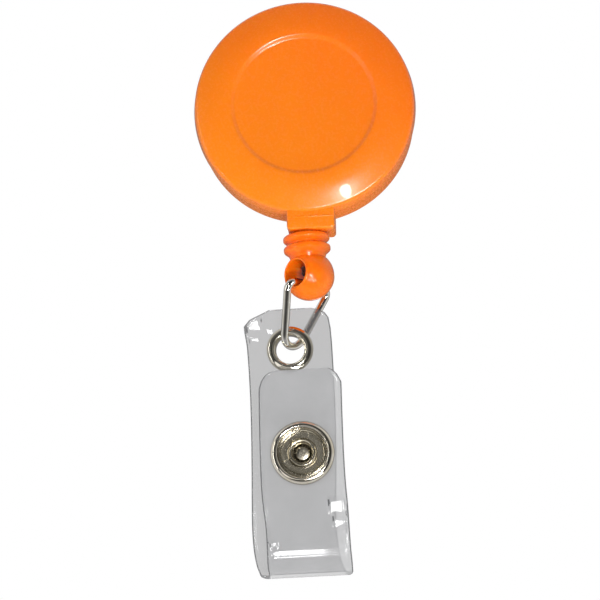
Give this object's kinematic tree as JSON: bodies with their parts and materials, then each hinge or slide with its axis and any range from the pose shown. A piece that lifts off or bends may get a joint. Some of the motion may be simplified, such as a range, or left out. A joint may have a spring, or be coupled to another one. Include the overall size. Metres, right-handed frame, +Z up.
{
  "type": "retractable badge reel",
  "caption": "Round spring badge reel with a belt clip, a stopper ball on its cord, a wire link, and a clear vinyl strap that snaps shut round a badge's slot.",
  "frame": {"origin": "in the belt clip's grip, midway between its plate and leaf, level with the axle", "axes": "+Z up, +X to the right as seen from the front, front facing -Y, so the reel's axis runs along Y"},
  "size_m": [0.032, 0.0119, 0.0832],
  "materials": {
    "case_front_plastic": "glossy orange moulded plastic",
    "case_back_plastic": "glossy orange moulded plastic",
    "stopper_plastic": "glossy orange moulded plastic",
    "spool_plastic": "natural moulded acetal",
    "axle_steel": "zinc plated",
    "spring_steel": "bright rolled strip",
    "cord_nylon": "fine braided cord",
    "wire_nickel": "bright nickel plate",
    "eyelet_nickel": "bright nickel plate",
    "snap_nickel": "bright nickel plate",
    "snap_spring_wire": "bright drawn wire",
    "clip_steel": "nickel plated spring steel",
    "vinyl_back": "clear soft vinyl",
    "vinyl_flap": "clear soft vinyl"
  },
  "bodies": {
    "case": {"front_cover": "case_front_plastic", "back_case": "case_back_plastic", "spool_axle": "axle_steel", "belt_clip": "clip_steel"},
    "spool": {"spool": "spool_plastic", "spring_cover": "spool_plastic", "cord_winding": "cord_nylon", "power_spring": "spring_steel"},
    "cord_end": {"cord_knot": "cord_nylon", "cord_lead": "cord_nylon"},
    "stopper": {"stopper": "stopper_plastic"},
    "link": {"link": "wire_nickel"},
    "strap": {"strap_back": "vinyl_back", "eyelet": "eyelet_nickel", "eyelet_washer": "eyelet_nickel", "snap_stud": "snap_nickel", "stud_eyelet": "snap_nickel"},
    "flap": {"strap_flap": "vinyl_flap", "socket_eyelet": "snap_nickel", "snap_socket": "snap_nickel", "socket_spring": "snap_spring_wire"},
    "clip_leaf": {"belt_clip_leaf": "clip_steel"}
  },
  "joints": [
    {"name": "cord_pull", "type": "slide", "parent": "case", "child": "cord_end", "axis": [0, 0, -1], "range_m": [0, 0.8], "stiffness_N_per_m": 0.58, "springref_m": -0.69, "deforming": ["cord_lead"]},
    {"name": "spool_spin", "type": "hinge", "parent": "case", "child": "spool", "pos_m": [0, -0.0054, 0], "axis": [0, 1, 0], "range_deg": [0, 4150], "deforming": ["power_spring"]},
    {"name": "stopper_swivel", "type": "hinge", "parent": "cord_end", "child": "stopper", "pos_m": [0, -0.0054, -0.02443], "axis": [0, 0, 1], "continuous": true},
    {"name": "link_swing", "type": "hinge", "parent": "stopper", "child": "link", "pos_m": [-0.00006, -0.00548, -0.02576], "axis": [-0.6428, -0.766, 0], "range_deg": [-12, 84]},
    {"name": "strap_swing", "type": "hinge", "parent": "link", "child": "strap", "pos_m": [-0.0031, -0.00336, -0.03466], "axis": [0, -0.9994, -0.0349], "range_deg": [-40, 40]},
    {"name": "flap_open", "type": "hinge", "parent": "strap", "child": "flap", "pos_m": [-0.00188, -0.00492, -0.06436], "axis": [0.9998, -0.0007, 0.0209], "range_deg": [0, 100], "deforming": ["socket_spring"]},
    {"name": "clip_flex", "type": "hinge", "parent": "case", "child": "clip_leaf", "pos_m": [0, 0.00095, 0.0122], "axis": [1, 0, 0], "range_deg": [0, 12], "stiffness_Nm_per_rad": 0.35, "springref_deg": -2.86}
  ],
  "couplings": [
    {"joint": "spool_spin", "follows": "cord_pull", "rad_per_m": 90.33}
  ]
}
